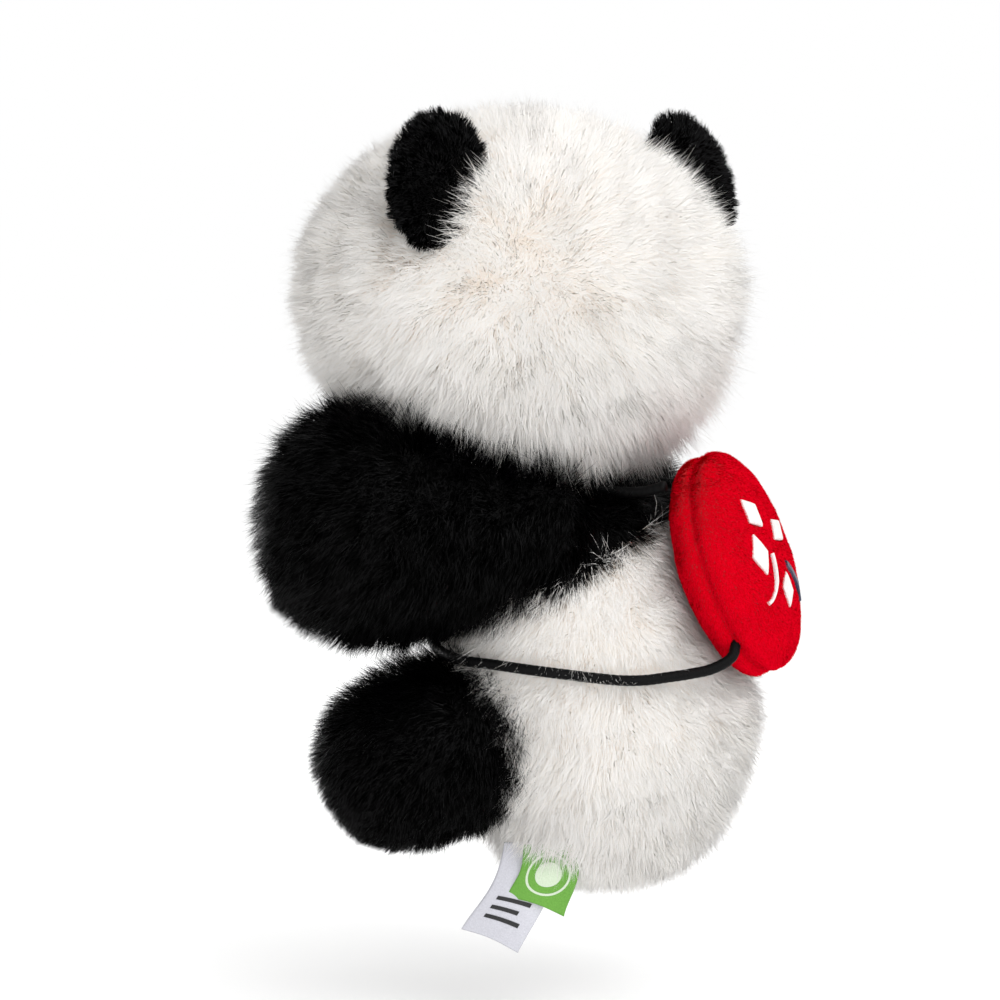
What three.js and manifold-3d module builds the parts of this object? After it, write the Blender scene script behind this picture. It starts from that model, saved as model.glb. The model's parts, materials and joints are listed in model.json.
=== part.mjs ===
// Plush panda, seated shape, with a red plush backpack on black round elastic straps.
// Millimetres, +Z up. The origin is the crown hang point on the head's skin. The body faces -Y
// and its own left side is +X. The head is turned towards the panda's right.
import * as THREE from "three";
import { mergeVertices } from "three/addons/utils/BufferGeometryUtils.js";
import Module from "manifold-3d";

const wasm = await Module();
wasm.setup();

// Driving dimensions. Heights are above the seat, measured on the cloth skin under the pile.
const GAP = 0.3; // between neighbouring pieces
const CLOTH = 1.8; // backing cloth with its pile roots
const HEAD_SEMI = [57, 51, 44];
const HEAD_CENTRE = [0, -26, 165];
const HEAD_TURN = -22; // degrees about Z
const HANG_POINT = [0, -34, 208.4];
const HEAD_SEAM_Y = 2;
const MUZZLE_CENTRE = [0, -42, -14];
const MUZZLE_SEMI = [20, 16, 15];
const EYE_X = 19;
const EYE_Z = 5;
const SHANK_R = 1.6;
const WASHER_R = 5.5;
const EAR_BASE = [40, 21.5, 26];
const EAR_WIDTH_DIR = [-0.47, -0.12, 0.87];
const EAR_HEIGHT_DIR = [0.8, -0.1, 0.4];
const EAR_SEMI = [17.5, 13.5, 4.2];
const EAR_CENTRE_UP = 9;
const EAR_FLOP = 10;
const NECK_CENTRE = [0, -16, 117];
const NECK_R = 12;
const NECK_BALL_R = 15;
const TORSO_PROFILE = [
  [0, 7], [12, 7], [19, 10.5], [25.5, 17], [31, 27], [35, 38], [36.5, 50], [35.5, 64],
  [33, 80], [29.5, 95], [25, 105], [18.5, 111.5], [9, 114.5], [0, 115],
];
const LEAN = 0.2; // forward lean of the torso per mm of height
const LEAN_FROM = 50;
const SIDE_SEAM_Y = 5;
const SEAT_R = 12;
const YOKE_SPINE_Z = 101;
const YOKE_DROP = 13; // how much lower the yoke's edge is at the sides
const ARM_ROOT = [25, -12, 100.4];
const ARM_DIR = [0.56, -0.826, 0.07];
const ARM_PROFILE = [
  [0, -17], [9, -15.5], [15.5, -11], [19, -3], [22.5, 12], [25.8, 26], [28, 40], [26.5, 51],
  [20.5, 60.5], [11, 66.5], [0, 68.5],
];
const ARM_INNER_X = 23.6;
const ARM_UPRIGHT = 1;
const LEG_ROOT = [25, -20.5, 45];
const LEG_DIR = [0.54, -0.766, -0.35];
const LEG_PROFILE = [
  [0, -13], [8, -11.5], [14.5, -7], [19, 2], [21.5, 13], [21.5, 24], [19.5, 34], [15.5, 41.5],
  [8.5, 46], [0, 47.5],
];
const LEG_INNER_X = 15;
const SOLE_FROM = 37.5;
const ARM_SWING = [0, 10];
const LEG_SWING = [-7, 7];
const SWING_ROOM = 1.6;
const PACK_CENTRE = [0, 40.3, 91];
const PACK_TILT = 19;
const PACK_STRETCH = [0.866, 1.067, 1]; // width, height and depth of its oval outline
const PACK_HALF_PROFILE = [
  [0, 11], [9, 10.8], [17, 9.8], [23.5, 7.6], [27.6, 4.6], [28.4, 2.2], [27.4, 0],
];
const STRAP_R = 1.4;
const STRAP_POINTS = [
  [18.4, 47.8, 69.4], [20.6, 46, 66.4], [22.8, 41.5, 64.4], [28, 34.5, 63], [36.3, 23.6, 62.1],
  [44, 5, 64.1], [42.5, -14, 65.2], [38, -26.5, 65.5], [29.5, -37.5, 68.5], [20, -42.5, 77],
  [18.5, -43.5, 90], [18, -39, 102], [17.5, -30, 110], [17.6, -16, 114.6], [17, -2, 113.4],
  [16.2, 12, 110.8], [16, 23, 111.8], [16.1, 30.2, 115.1],
];
const LABEL_ANCHOR = [28, -8, 14.5];
const LABEL_FACE = 65; // azimuth of the labels' width direction, degrees from -X towards +Y
const CARE_LABEL = [16, 30, 1.6];
const CARE_TILT = 21; // degrees towards the panda's front
const BRAND_LABEL = [16, 17.2, 0.8];
const BRAND_TILT = 12;
const BRAND_ASIDE = 5.4;
const BRAND_IN_FRONT = 2.4;
const FINE = [30, 15];
const MID = [20, 10];
const COARSE = [16, 8];

const FUR_WHITE = new THREE.MeshStandardMaterial({ color: 0xf4efea, roughness: 0.95 });
const FUR_BLACK = new THREE.MeshStandardMaterial({ color: 0x0c0c0e, roughness: 0.9 });
const PLUSH_RED = new THREE.MeshStandardMaterial({ color: 0xdc1020, roughness: 0.85 });
const CLOTH_WHITE = new THREE.MeshStandardMaterial({ color: 0xf2f0ec, roughness: 0.9 });
const CLOTH_NAVY = new THREE.MeshStandardMaterial({ color: 0x161c3c, roughness: 0.9 });
const FILLING = new THREE.MeshStandardMaterial({ color: 0xf7f6f2, roughness: 1 });
const BAG_CLOTH = new THREE.MeshStandardMaterial({ color: 0xd9d6cf, roughness: 0.95 });
const EYE_PLASTIC = new THREE.MeshStandardMaterial({ color: 0x0a0806, roughness: 0.15 });
const WASHER_PLASTIC = new THREE.MeshStandardMaterial({ color: 0xe4e2dc, roughness: 0.5 });
const THREAD = new THREE.MeshStandardMaterial({ color: 0x141414, roughness: 0.8 });
const ELASTIC = new THREE.MeshStandardMaterial({ color: 0x101012, roughness: 0.75 });
const SATIN = new THREE.MeshStandardMaterial({ color: 0xd9d9e0, roughness: 0.45 });
const LABEL_GREEN = new THREE.MeshStandardMaterial({ color: 0x7dbe50, roughness: 0.6 });

const rad = THREE.MathUtils.degToRad;

// Solids

function toSolid(geometry) {
  const bare = geometry.clone();
  for (const name of Object.keys(bare.attributes)) {
    if (name !== "position") {
      bare.deleteAttribute(name);
    }
  }
  const merged = mergeVertices(bare.index ? bare.toNonIndexed() : bare, 1e-4);
  const vertProperties = new Float32Array(merged.attributes.position.array);
  const triVerts = new Uint32Array(merged.index.array);
  return new wasm.Manifold(new wasm.Mesh({ numProp: 3, vertProperties, triVerts }));
}

function toGeometry(solid) {
  const mesh = solid.getMesh();
  const geometry = new THREE.BufferGeometry();
  const positions = new Float32Array((mesh.vertProperties.length / mesh.numProp) * 3);
  for (let i = 0; i < positions.length / 3; i += 1) {
    for (let k = 0; k < 3; k += 1) {
      positions[3 * i + k] = mesh.vertProperties[mesh.numProp * i + k];
    }
  }
  geometry.setAttribute("position", new THREE.BufferAttribute(positions, 3));
  geometry.setIndex(new THREE.BufferAttribute(new Uint32Array(mesh.triVerts), 1));
  geometry.computeVertexNormals();
  return geometry;
}

function piece(name, solid, material) {
  const mesh = new THREE.Mesh(toGeometry(solid), material);
  mesh.name = name;
  return mesh;
}

function ball(centre, semi, grow = 0, detail = MID) {
  const g = new THREE.SphereGeometry(1, detail[0], detail[1]);
  g.rotateX(Math.PI / 2);
  g.scale(semi[0] + grow, semi[1] + grow, semi[2] + grow);
  g.translate(...centre);
  return toSolid(g);
}

function box(low, high) {
  const g = new THREE.BoxGeometry(high[0] - low[0], high[1] - low[1], high[2] - low[2]);
  g.translate((low[0] + high[0]) / 2, (low[1] + high[1]) / 2, (low[2] + high[2]) / 2);
  return toSolid(g);
}

// A profile of [radius, height] pairs from the axis to the axis, turned about Z.
function lathe(profile, segments) {
  const g = new THREE.LatheGeometry(profile.map(([r, z]) => new THREE.Vector2(r, z)), segments);
  g.rotateX(Math.PI / 2);
  return g;
}

// Moves a profile along its own normals: outwards when grow is positive.
function offset(profile, grow) {
  return profile.map((p, i) => {
    const a = profile[Math.max(i - 1, 0)];
    const b = profile[Math.min(i + 1, profile.length - 1)];
    const length = Math.hypot(b[0] - a[0], b[1] - a[1]);
    const nr = (b[1] - a[1]) / length;
    const nz = -(b[0] - a[0]) / length;
    const atAxis = p[0] === 0;
    return atAxis ? [0, p[1] + grow * Math.sign(nz || 1)] : [p[0] + grow * nr, p[1] + grow * nz];
  });
}

// A rotation that takes +Z to the given direction, then a move.
function aimed(geometry, direction, origin) {
  const z = new THREE.Vector3(...direction).normalize();
  const side = new THREE.Vector3(0, 0, 1);
  if (Math.abs(z.z) > 0.9) {
    side.set(1, 0, 0);
  }
  const x = new THREE.Vector3().crossVectors(side, z).normalize();
  const y = new THREE.Vector3().crossVectors(z, x);
  geometry.applyMatrix4(new THREE.Matrix4().makeBasis(x, y, z));
  geometry.translate(...origin);
  return geometry;
}

function turnedAbout(solid, axis, point, degrees) {
  const m = new THREE.Matrix4().makeTranslation(...point);
  m.multiply(new THREE.Matrix4().makeRotationAxis(new THREE.Vector3(...axis).normalize(), rad(degrees)));
  m.multiply(new THREE.Matrix4().makeTranslation(-point[0], -point[1], -point[2]));
  return solid.transform(m.elements);
}

function swept(solid, axis, point, steps) {
  let all = null;
  for (const degrees of steps) {
    const one = turnedAbout(solid, axis, point, degrees);
    all = all ? all.add(one) : one;
  }
  return all;
}

function mirrored(solid) {
  return solid.mirror([1, 0, 0]);
}

function bodies(solid) {
  return solid.decompose().sort((a, b) => b.volume() - a.volume());
}

function largest(solid) {
  return bodies(solid)[0];
}

// A round cord of the given radius along a smooth curve through the points.
function cord(points, radius, steps, around) {
  const curve = new THREE.CatmullRomCurve3(points.map((p) => new THREE.Vector3(...p)));
  const ring = new THREE.Shape();
  for (let i = 0; i < around; i += 1) {
    const a = (2 * Math.PI * i) / around;
    const [x, y] = [radius * Math.cos(a), radius * Math.sin(a)];
    if (i === 0) {
      ring.moveTo(x, y);
    } else {
      ring.lineTo(x, y);
    }
  }
  ring.closePath();
  return toSolid(new THREE.ExtrudeGeometry(ring, { steps, extrudePath: curve, bevelEnabled: false }));
}

// Head, in its own frame: centre at the origin, face towards -Y

const headSkin = (grow, detail = MID) => ball([0, 0, 0], HEAD_SEMI, grow, detail);
const muzzleSkin = (grow) => ball(MUZZLE_CENTRE, MUZZLE_SEMI, grow, COARSE);
const turnBack = rad(-HEAD_TURN);
const neckFromHead = [NECK_CENTRE[0] - HEAD_CENTRE[0], NECK_CENTRE[1] - HEAD_CENTRE[1]];
const neckInHead = [
  neckFromHead[0] * Math.cos(turnBack) - neckFromHead[1] * Math.sin(turnBack),
  neckFromHead[0] * Math.sin(turnBack) + neckFromHead[1] * Math.cos(turnBack),
];

function neckHole(grow) {
  const g = lathe([[0, -60], [NECK_R + grow, -60], [NECK_R + grow, -26 + grow], [0, -26 + grow]], 24);
  g.translate(neckInHead[0], neckInHead[1], 0);
  return toSolid(g);
}

// Outward surface point and normal on the head at the given x and z.
function onHead(x, z, lift) {
  const [a, b, c] = HEAD_SEMI.map((s) => s + lift);
  const y = -b * Math.sqrt(1 - (x / a) ** 2 - (z / c) ** 2);
  const normal = new THREE.Vector3(x / a ** 2, y / b ** 2, z / c ** 2).normalize();
  return { point: [x, y, z], normal: normal.toArray() };
}

function onMuzzle(x, z, lift) {
  const [a, b, c] = MUZZLE_SEMI.map((s) => s + lift);
  const dz = z - MUZZLE_CENTRE[2];
  const y = -b * Math.sqrt(1 - (x / a) ** 2 - (dz / c) ** 2);
  const normal = new THREE.Vector3(x / a ** 2, y / b ** 2, dz / c ** 2).normalize();
  return { point: [x, y + MUZZLE_CENTRE[1], z], normal: normal.toArray() };
}

function shank(seat, radius, length) {
  const g = lathe([[0, -length], [radius, -length], [radius, 2], [0, 2]], 8);
  return toSolid(aimed(g, seat.normal, seat.point));
}

function button(seat, profile, length) {
  const dome = toSolid(aimed(lathe(profile, 16), seat.normal, seat.point));
  return dome.add(shank(seat, SHANK_R, length));
}

function washer(seat, depth, grow) {
  const [r, hole, low, high] = [WASHER_R + grow, SHANK_R + GAP - grow, -depth - 1.2 - grow, -depth + grow];
  const ring = [[hole, low], [r, low], [r, high], [hole, high], [hole, low]];
  return toSolid(aimed(lathe(ring, 10), seat.normal, seat.point));
}

const PATCH_LIFT = GAP + 1.2;
const eyeSeat = onHead(EYE_X, EYE_Z, PATCH_LIFT + GAP);
const noseSeat = onMuzzle(0, -9, GAP);
const EYE_DOME = [[0, 0], [5.4, 0], [5.4, 0.8], [5, 1.9], [3.9, 3], [2.2, 3.8], [0, 4.1]];
const NOSE_DOME = [[0, 0], [6.2, 0], [6.6, 1], [6, 2.4], [4.2, 3.6], [2, 4.2], [0, 4.3]];
const EYE_SHANK = 13;
const WASHER_DEPTH = 7.5;

function eyePatch() {
  const g = new THREE.CylinderGeometry(1, 1, 60, 30);
  g.scale(9.5, 1, 13);
  g.rotateY(rad(28));
  g.translate(EYE_X + 1.5, -50, EYE_Z - 1.5);
  const layer = headSkin(PATCH_LIFT, FINE).subtract(headSkin(GAP, FINE)).subtract(muzzleSkin(GAP));
  return largest(layer.intersect(toSolid(g)));
}

const leftShank = shank(eyeSeat, SHANK_R + GAP, EYE_SHANK + 1);
const shankHoles = leftShank.add(mirrored(leftShank)).add(shank(noseSeat, SHANK_R + GAP, EYE_SHANK + 1));
const leftWasher = washer(eyeSeat, WASHER_DEPTH, 0);
const noseWasher = washer(noseSeat, WASHER_DEPTH, 0);
const leftWasherRoom = washer(eyeSeat, WASHER_DEPTH, GAP);
const washerRoom = leftWasherRoom.add(mirrored(leftWasherRoom)).add(washer(noseSeat, WASHER_DEPTH, GAP));

const headShell = headSkin(0, FINE).subtract(headSkin(-CLOTH)).subtract(neckHole(GAP));
const facePanel = largest(
  headShell
    .intersect(box([-80, -80, -80], [80, HEAD_SEAM_Y - GAP / 2, 80]))
    .subtract(muzzleSkin(GAP))
    .subtract(shankHoles),
);
const headBackCover = largest(headShell.intersect(box([-80, HEAD_SEAM_Y + GAP / 2, -80], [80, 80, 80])));
const muzzleCover = largest(
  muzzleSkin(0).subtract(muzzleSkin(-CLOTH)).subtract(headSkin(-CLOTH)).subtract(shankHoles),
);
const headStuffing = largest(
  headSkin(-CLOTH - GAP)
    .add(muzzleSkin(-CLOTH - GAP))
    .subtract(neckHole(GAP))
    .subtract(shankHoles)
    .subtract(washerRoom),
);
const leftEyePatch = eyePatch().subtract(leftShank);
const leftEye = button(eyeSeat, EYE_DOME, EYE_SHANK);
const nose = button(noseSeat, NOSE_DOME, EYE_SHANK);

function mouthPoint(x, z) {
  const { point, normal } = onMuzzle(x, z, 0);
  return point.map((v, i) => v + normal[i] * (GAP + 0.75));
}

const mouth = cord(
  [mouthPoint(-7.5, -19.6), mouthPoint(-4.5, -21.4), mouthPoint(0, -19), mouthPoint(4.5, -21.4),
    mouthPoint(7.5, -19.6)],
  0.7, 14, 6,
);

// Ears: a flat pillow in two halves, hollowed at the base so that it can flop on the head

function earFrame() {
  const b = new THREE.Vector3(...EAR_WIDTH_DIR).normalize();
  const d = new THREE.Vector3(...EAR_HEIGHT_DIR);
  d.addScaledVector(b, -d.dot(b)).normalize();
  const n = new THREE.Vector3().crossVectors(b, d);
  return { b, d, n };
}

function leftEar() {
  const { b, d, n } = earFrame();
  const g = new THREE.SphereGeometry(1, 24, 12);
  g.scale(EAR_SEMI[0], EAR_SEMI[1], EAR_SEMI[2]);
  g.translate(0, EAR_CENTRE_UP, 0);
  g.applyMatrix4(new THREE.Matrix4().makeBasis(b, d, n));
  g.translate(...EAR_BASE);
  const room = swept(headSkin(1.2), b.toArray(), EAR_BASE, [-EAR_FLOP, EAR_FLOP]);
  const pillow = toSolid(g).subtract(room);
  const half = (low, high) => {
    const cut = new THREE.BoxGeometry(80, 80, high - low);
    cut.translate(0, 0, (low + high) / 2);
    cut.applyMatrix4(new THREE.Matrix4().makeBasis(b, d, n));
    cut.translate(...EAR_BASE);
    return largest(pillow.intersect(toSolid(cut)));
  };
  return { back: half(GAP / 2, 20), front: half(-20, -GAP / 2) };
}

const ear = leftEar();

// Limbs

function limb(profile, grow, direction, root, flat, innerX, segments) {
  const g = lathe(offset(profile, grow), segments);
  g.scale(1, flat, 1);
  const solid = toSolid(aimed(g, direction, root));
  return solid.intersect(box([innerX - Math.max(grow, 0), -150, -50], [150, 150, 250]));
}

const armSkin = (grow, segments = 16) =>
  limb(ARM_PROFILE, grow, ARM_DIR, ARM_ROOT, ARM_UPRIGHT, ARM_INNER_X, segments);
const legSkin = (grow, segments = 16) =>
  limb(LEG_PROFILE, grow, LEG_DIR, LEG_ROOT, 1, LEG_INNER_X, segments);

function beyondSole(from) {
  const g = new THREE.BoxGeometry(100, 100, 60);
  g.translate(0, 0, from + 30);
  return toSolid(aimed(g, LEG_DIR, LEG_ROOT));
}

const armCover = largest(armSkin(0).subtract(armSkin(-CLOTH, 12)));
const armStuffing = largest(armSkin(-CLOTH - GAP, 12));
const legShell = legSkin(0).subtract(legSkin(-CLOTH, 12));
const legCover = largest(legShell.subtract(beyondSole(SOLE_FROM - GAP / 2)));
const legSole = largest(legShell.intersect(beyondSole(SOLE_FROM + GAP / 2)));
const legStuffing = largest(legSkin(-CLOTH - GAP, 12));

const X_AXIS = [1, 0, 0];
const leftArmRoom = swept(armSkin(SWING_ROOM, 10), X_AXIS, ARM_ROOT, ARM_SWING);
const leftLegRoom = swept(legSkin(SWING_ROOM, 10), X_AXIS, LEG_ROOT, LEG_SWING);
const limbRoom = leftArmRoom.add(mirrored(leftArmRoom)).add(leftLegRoom).add(mirrored(leftLegRoom));

// Torso

function torsoSkin(grow, segments = 22) {
  const g = lathe(offset(TORSO_PROFILE, grow), segments);
  const p = g.attributes.position;
  for (let i = 0; i < p.count; i += 1) {
    p.setY(i, p.getY(i) - LEAN * Math.max(0, p.getZ(i) - LEAN_FROM));
  }
  return toSolid(g);
}

// Everything above the yoke's lower seam, which is highest at the spine.
function aboveYokeSeam(lift) {
  const edge = new THREE.Shape();
  edge.moveTo(-70, 200);
  for (let x = -70; x <= 70; x += 7) {
    edge.lineTo(x, YOKE_SPINE_Z - YOKE_DROP * (x / 30) ** 2 + lift);
  }
  edge.lineTo(70, 200);
  edge.closePath();
  const g = new THREE.ExtrudeGeometry(edge, { depth: 200, bevelEnabled: false });
  g.rotateX(Math.PI / 2);
  g.translate(0, 100, 0);
  return toSolid(g);
}

function neckSocket(grow) {
  const [r, n] = [NECK_BALL_R + grow, NECK_R + grow];
  const ballPart = ball(NECK_CENTRE, [r, r, r], 0, COARSE);
  const cone = lathe([[0, -4], [n - 1, -4], [n + 2, 0], [n + 9, 25], [0, 25]], 24);
  cone.translate(...NECK_CENTRE);
  return ballPart.add(toSolid(cone));
}

function neckPlug() {
  const top = HEAD_CENTRE[2] - 26 - NECK_CENTRE[2];
  const g = lathe([[0, 0], [NECK_R, 0], [NECK_R, top], [0, top]], 24);
  g.translate(...NECK_CENTRE);
  const r = NECK_BALL_R;
  return ball(NECK_CENTRE, [r, r, r], 0, COARSE)
    .intersect(box([-40, -60, 60], [40, 40, NECK_CENTRE[2] + 1]))
    .add(toSolid(g));
}

function seatDisc(grow) {
  return toSolid(lathe([[0, 0], [SEAT_R + grow, 0], [SEAT_R + grow, 8.8 + grow], [0, 8.8 + grow]], 36))
    .intersect(box([-30, -30, 7 - 5 * Math.sign(grow)], [30, 30, 20]));
}

function pelletBag(grow) {
  const profile = [[0, 9.2], [9, 9.2], [12, 12], [13, 18], [12.6, 28], [8, 36], [0, 39]];
  return toSolid(lathe(offset(profile, grow), 24));
}

const torsoShell = torsoSkin(0)
  .subtract(torsoSkin(-CLOTH))
  .subtract(limbRoom)
  .subtract(neckSocket(GAP))
  .subtract(seatDisc(GAP));
const lowerShell = torsoShell.subtract(aboveYokeSeam(-GAP / 2));
const shoulderYoke = largest(torsoShell.intersect(aboveYokeSeam(GAP / 2)));
const bellyCover = largest(lowerShell.intersect(box([-80, -80, 0], [80, SIDE_SEAM_Y - GAP / 2, 130])));
const torsoBackCover = largest(lowerShell.intersect(box([-80, SIDE_SEAM_Y + GAP / 2, 0], [80, 80, 130])));
const bagRoom = pelletBag(GAP).add(pelletBag(0).translate(0, 0, -3));
const torsoStuffing = largest(
  torsoSkin(-CLOTH - GAP).subtract(limbRoom).subtract(neckSocket(GAP)).subtract(bagRoom),
);

// Backpack, in its own frame: its face towards +Z, its top towards +Y

function packSkin(grow) {
  const back = PACK_HALF_PROFILE.map(([r, h]) => [r, -h]);
  const front = PACK_HALF_PROFILE.slice(0, -1).reverse();
  const g = lathe(offset([...back, ...front], grow), 20);
  g.scale(...PACK_STRETCH);
  return toSolid(g);
}

function plate(points, low, high) {
  const shape = new THREE.Shape(points.map(([x, y]) => new THREE.Vector2(x, y)));
  const g = new THREE.ExtrudeGeometry(shape, { depth: high - low, bevelEnabled: false });
  g.translate(0, 0, low);
  return toSolid(g);
}

const packShell = packSkin(0).subtract(packSkin(-1.6));
const packFront = packShell.intersect(box([-50, -50, GAP / 2], [50, 50, 50]));
const packBack = packShell.intersect(box([-50, -50, -50], [50, 50, -GAP / 2]));
const packStuffing = packSkin(-1.6 - GAP);
const motifLayer = packSkin(GAP + 0.8).subtract(packSkin(GAP));

function lozenge(x, y, long, wide, degrees) {
  const [c, s] = [Math.cos(rad(degrees)), Math.sin(rad(degrees))];
  const corners = [[long, 0], [0, wide], [-long, 0], [0, -wide]];
  return plate(corners.map(([u, v]) => [x + u * c - v * s, y + u * s + v * c]), 0.5, 20);
}

// A band between two arcs about one centre.
function arcBand(x, y, radius, width, from, to) {
  const points = [];
  for (let i = 0; i <= 12; i += 1) {
    const a = rad(from + ((to - from) * i) / 12);
    points.push([x + (radius + width) * Math.cos(a), y + (radius + width) * Math.sin(a)]);
  }
  for (let i = 12; i >= 0; i -= 1) {
    const a = rad(from + ((to - from) * i) / 12);
    points.push([x + radius * Math.cos(a), y + radius * Math.sin(a)]);
  }
  return plate(points, 0.5, 20);
}

const motifs = [
  ["pack_lozenge_1", lozenge(-5.5, 11.5, 5.2, 4.2, 125), CLOTH_WHITE],
  ["pack_lozenge_2", lozenge(-9, 0, 5.8, 4.4, 95), CLOTH_WHITE],
  ["pack_lozenge_3", lozenge(2.5, -11, 5, 3.4, 75), CLOTH_WHITE],
  ["pack_lozenge_4", lozenge(7.5, 5.5, 5, 3.6, 30), CLOTH_WHITE],
  ["pack_stem", arcBand(-15.5, -0.5, 13, 1.1, -72, 0), CLOTH_WHITE],
  ["pack_crescent", arcBand(-1, -17, 13.5, 2.2, 8, 62), CLOTH_NAVY],
];

// Labels, hanging from the seam behind the left leg

function labelFrame(sidewaysTilt, towardsFace) {
  const m = new THREE.Matrix4().makeTranslation(...LABEL_ANCHOR);
  m.multiply(new THREE.Matrix4().makeRotationZ(rad(180 - LABEL_FACE)));
  m.multiply(new THREE.Matrix4().makeTranslation(0, towardsFace, 0));
  m.multiply(new THREE.Matrix4().makeRotationY(rad(sidewaysTilt)));
  return m;
}

// A strip folded in two at the bottom, so that it makes a flat loop.
function careLabel() {
  const [width, long, thick] = CARE_LABEL;
  const wall = 0.35;
  const profile = [
    [0, 0], [0, -long + 0.8], [0.4, -long], [thick - 0.4, -long], [thick, -long + 0.8], [thick, 0],
    [thick - wall, 0], [thick - wall, -long + 1], [thick - 0.6, -long + wall], [0.6, -long + wall],
    [wall, -long + 1], [wall, 0],
  ];
  const shape = new THREE.Shape(profile.map(([t, z]) => new THREE.Vector2(t, z)));
  const g = new THREE.ExtrudeGeometry(shape, { depth: width, bevelEnabled: false });
  g.translate(0, 0, -width / 2);
  g.applyMatrix4(new THREE.Matrix4().makeBasis(
    new THREE.Vector3(0, 1, 0), new THREE.Vector3(0, 0, 1), new THREE.Vector3(1, 0, 0),
  ));
  g.applyMatrix4(labelFrame(CARE_TILT, 0));
  return toSolid(g);
}

function brandLabel() {
  const [width, long, thick] = BRAND_LABEL;
  const g = new THREE.BoxGeometry(width, thick, long);
  g.translate(BRAND_ASIDE, 0, -long / 2);
  g.applyMatrix4(labelFrame(BRAND_TILT, -BRAND_IN_FRONT));
  return toSolid(g);
}

// Assembly

const headGroup = new THREE.Group();
headGroup.position.set(...HEAD_CENTRE);
headGroup.rotation.z = rad(HEAD_TURN);
headGroup.add(
  piece("head_back_cover", headBackCover, FUR_WHITE),
  piece("face_panel", facePanel, FUR_WHITE),
  piece("muzzle_cover", muzzleCover, FUR_WHITE),
  piece("head_stuffing", headStuffing, FILLING),
  piece("left_eye_patch", leftEyePatch, FUR_BLACK),
  piece("right_eye_patch", mirrored(leftEyePatch), FUR_BLACK),
  piece("left_eye", leftEye, EYE_PLASTIC),
  piece("right_eye", mirrored(leftEye), EYE_PLASTIC),
  piece("left_eye_washer", leftWasher, WASHER_PLASTIC),
  piece("right_eye_washer", mirrored(leftWasher), WASHER_PLASTIC),
  piece("nose", nose, EYE_PLASTIC),
  piece("nose_washer", noseWasher, WASHER_PLASTIC),
  piece("mouth_stitch", mouth, THREAD),
  piece("left_ear_back", ear.back, FUR_BLACK),
  piece("left_ear_front", ear.front, FUR_BLACK),
  piece("right_ear_back", mirrored(ear.back), FUR_BLACK),
  piece("right_ear_front", mirrored(ear.front), FUR_BLACK),
);

const bodyGroup = new THREE.Group();
bodyGroup.add(
  piece("neck_stuffing", neckPlug(), FILLING),
  piece("shoulder_yoke", shoulderYoke, FUR_BLACK),
  piece("torso_back_cover", torsoBackCover, FUR_WHITE),
  piece("belly_cover", bellyCover, FUR_WHITE),
  piece("seat_panel", seatDisc(0), FUR_WHITE),
  piece("torso_stuffing", torsoStuffing, FILLING),
  piece("pellet_bag", pelletBag(0), BAG_CLOTH),
  piece("left_arm_cover", armCover, FUR_BLACK),
  piece("right_arm_cover", mirrored(armCover), FUR_BLACK),
  piece("left_arm_stuffing", armStuffing, FILLING),
  piece("right_arm_stuffing", mirrored(armStuffing), FILLING),
  piece("left_leg_cover", legCover, FUR_BLACK),
  piece("right_leg_cover", mirrored(legCover), FUR_BLACK),
  piece("left_leg_sole", legSole, FUR_BLACK),
  piece("right_leg_sole", mirrored(legSole), FUR_BLACK),
  piece("left_leg_stuffing", legStuffing, FILLING),
  piece("right_leg_stuffing", mirrored(legStuffing), FILLING),
);
const leftStrap = cord(STRAP_POINTS, STRAP_R, 34, 6);
bodyGroup.add(
  piece("left_strap", leftStrap, ELASTIC),
  piece("right_strap", mirrored(leftStrap), ELASTIC),
  piece("care_label", careLabel(), SATIN),
  piece("brand_label", brandLabel(), LABEL_GREEN),
);

const packGroup = new THREE.Group();
packGroup.position.set(...PACK_CENTRE);
packGroup.rotation.order = "ZXY";
packGroup.rotation.z = Math.PI;
packGroup.rotation.x = rad(90 - PACK_TILT);
packGroup.add(
  piece("pack_front_panel", packFront, PLUSH_RED),
  piece("pack_back_panel", packBack, PLUSH_RED),
  piece("pack_stuffing", packStuffing, FILLING),
);
for (const [name, cutter, material] of motifs) {
  packGroup.add(piece(name, motifLayer.intersect(cutter), material));
}

const group = new THREE.Group();
group.add(headGroup, bodyGroup, packGroup);
group.position.set(-HANG_POINT[0], -HANG_POINT[1], -HANG_POINT[2]);

export default group;
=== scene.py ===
import json
import math

import bpy
import numpy as np
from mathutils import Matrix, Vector
from mathutils.kdtree import KDTree


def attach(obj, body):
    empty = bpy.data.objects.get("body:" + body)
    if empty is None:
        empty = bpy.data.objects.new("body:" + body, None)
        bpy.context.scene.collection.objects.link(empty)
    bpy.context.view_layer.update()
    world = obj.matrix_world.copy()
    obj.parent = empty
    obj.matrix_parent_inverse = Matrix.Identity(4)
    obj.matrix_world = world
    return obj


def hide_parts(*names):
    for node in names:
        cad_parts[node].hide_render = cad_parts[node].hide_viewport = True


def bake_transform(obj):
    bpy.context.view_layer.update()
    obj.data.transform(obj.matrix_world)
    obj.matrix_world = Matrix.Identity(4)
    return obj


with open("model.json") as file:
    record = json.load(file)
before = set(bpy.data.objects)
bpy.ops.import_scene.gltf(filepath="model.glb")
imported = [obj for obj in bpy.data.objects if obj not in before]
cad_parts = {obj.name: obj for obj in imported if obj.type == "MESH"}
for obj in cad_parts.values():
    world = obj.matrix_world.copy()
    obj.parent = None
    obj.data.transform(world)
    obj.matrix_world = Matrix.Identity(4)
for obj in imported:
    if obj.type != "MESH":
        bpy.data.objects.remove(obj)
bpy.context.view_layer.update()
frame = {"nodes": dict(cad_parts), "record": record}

SEED = 20261
MM = 0.001

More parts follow.
